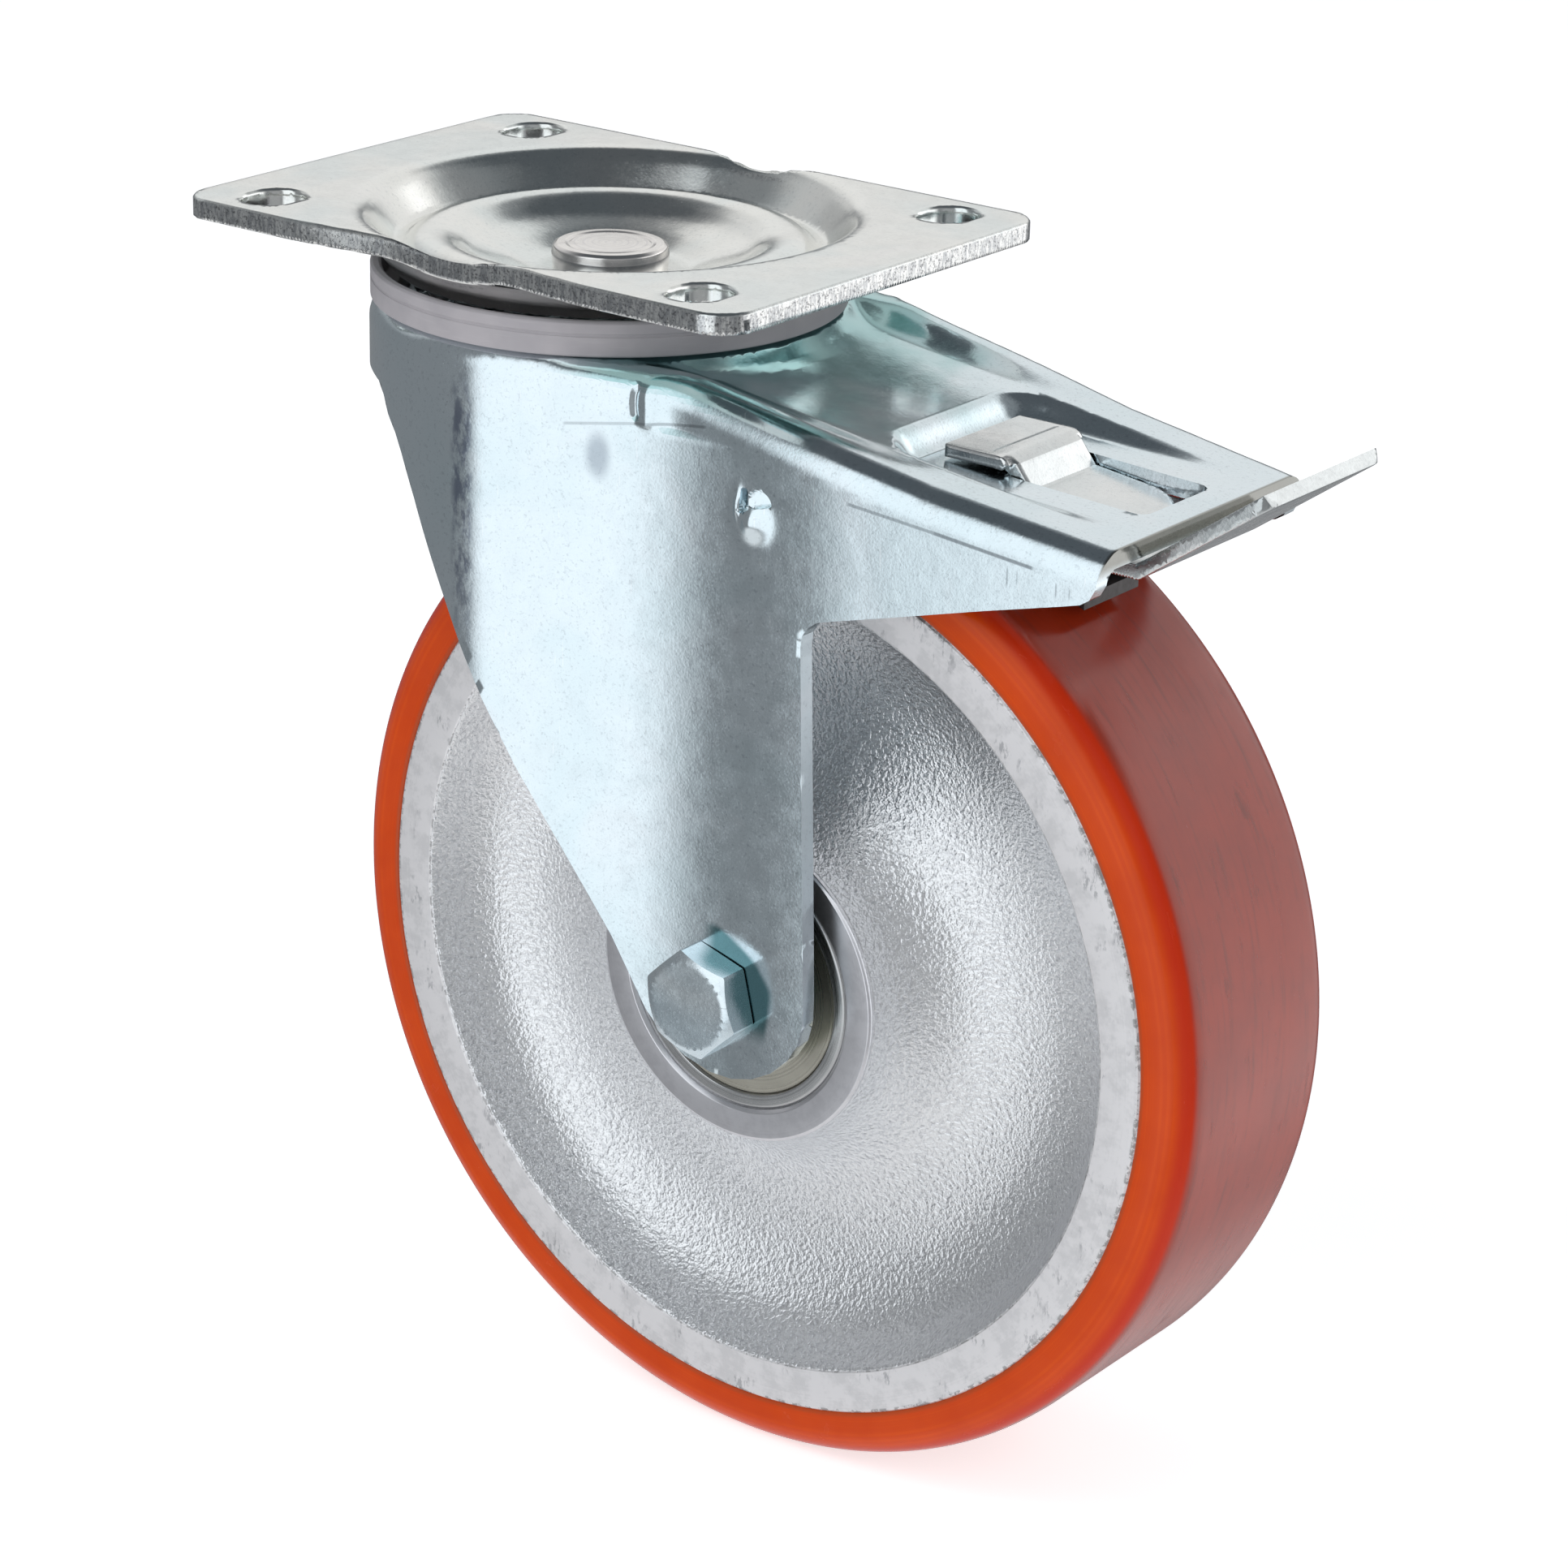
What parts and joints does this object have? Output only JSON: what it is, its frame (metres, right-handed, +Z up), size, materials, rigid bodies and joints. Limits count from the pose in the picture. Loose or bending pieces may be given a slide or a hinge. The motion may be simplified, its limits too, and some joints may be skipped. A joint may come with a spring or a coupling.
{
  "type": "swivel castor with total lock brake",
  "caption": "Zinc plated swivel castor with mounting plate, pressed fork, pedal total lock and an orange polyurethane wheel on a cast centre.",
  "frame": {"origin": "centre of the plate's top face, on the swivel axis", "axes": "+X towards the trailing wheel and pedal, +Y towards the axle nut, +Z up out of the plate's top face"},
  "size_m": [0.2298, 0.1019, 0.2371],
  "materials": {
    "plate_zinc": "bright zinc plated, lightly worn",
    "fork_zinc": "bright zinc plated with a faint blue-green tint",
    "pin_steel": "zinc plated, satin",
    "race_steel": "hardened, satin",
    "ball_steel": "polished",
    "seal_plastic": "smooth grey",
    "bolt_zinc": "blue passivated zinc",
    "pedal_zinc": "bright zinc plated",
    "spring_steel": "dark oiled",
    "cast_centre": "rough cast and silver coated, with machined rim and hub rings",
    "tread_pu": "glossy orange-red polyurethane",
    "bearing_steel": "ground",
    "shield_steel": "pressed sheet, warm beige"
  },
  "bodies": {
    "mounting_plate": {"top_plate": "plate_zinc", "kingpin": "pin_steel", "lower_race": "race_steel", "lock_ring": "race_steel"},
    "fork_assembly": {"fork": "fork_zinc", "seal_ring": "seal_plastic", "upper_balls": "ball_steel", "lower_balls": "ball_steel", "axle_bolt": "bolt_zinc", "axle_nut": "bolt_zinc", "axle_tube": "race_steel", "inner_ring_near": "bearing_steel", "inner_ring_far": "bearing_steel", "pedal_pin": "race_steel", "brake_spring": "spring_steel"},
    "pedal": {"brake_pedal": "pedal_zinc", "brake_shoe": "race_steel", "shoe_rivets": "pin_steel"},
    "swivel_lock": {"lock_plate": "pedal_zinc"},
    "wheel": {"wheel_centre": "cast_centre", "tread": "tread_pu", "outer_ring_near": "bearing_steel", "outer_ring_far": "bearing_steel", "bearing_balls_near": "ball_steel", "bearing_balls_far": "ball_steel", "shields_near": "shield_steel", "shields_far": "shield_steel"}
  },
  "joints": [
    {"name": "swivel", "type": "hinge", "parent": "mounting_plate", "child": "fork_assembly", "pos_m": [0, 0, -0.0174], "axis": [0, 0, 1], "continuous": true},
    {"name": "wheel_spin", "type": "hinge", "parent": "fork_assembly", "child": "wheel", "pos_m": [0.0578, 0, -0.1371], "axis": [0, 1, 0], "continuous": true},
    {"name": "pedal_press", "type": "hinge", "parent": "fork_assembly", "child": "pedal", "pos_m": [0.108, 0, -0.042], "axis": [0, 1, 0], "range_deg": [0, 12], "deforming": ["brake_spring"]},
    {"name": "lock_rock", "type": "hinge", "parent": "fork_assembly", "child": "swivel_lock", "pos_m": [0.104, 0, -0.0315], "axis": [0, 1, 0], "range_deg": [0, 3.12]}
  ],
  "couplings": [
    {"joint": "lock_rock", "follows": "pedal_press", "ratio": 0.26}
  ]
}
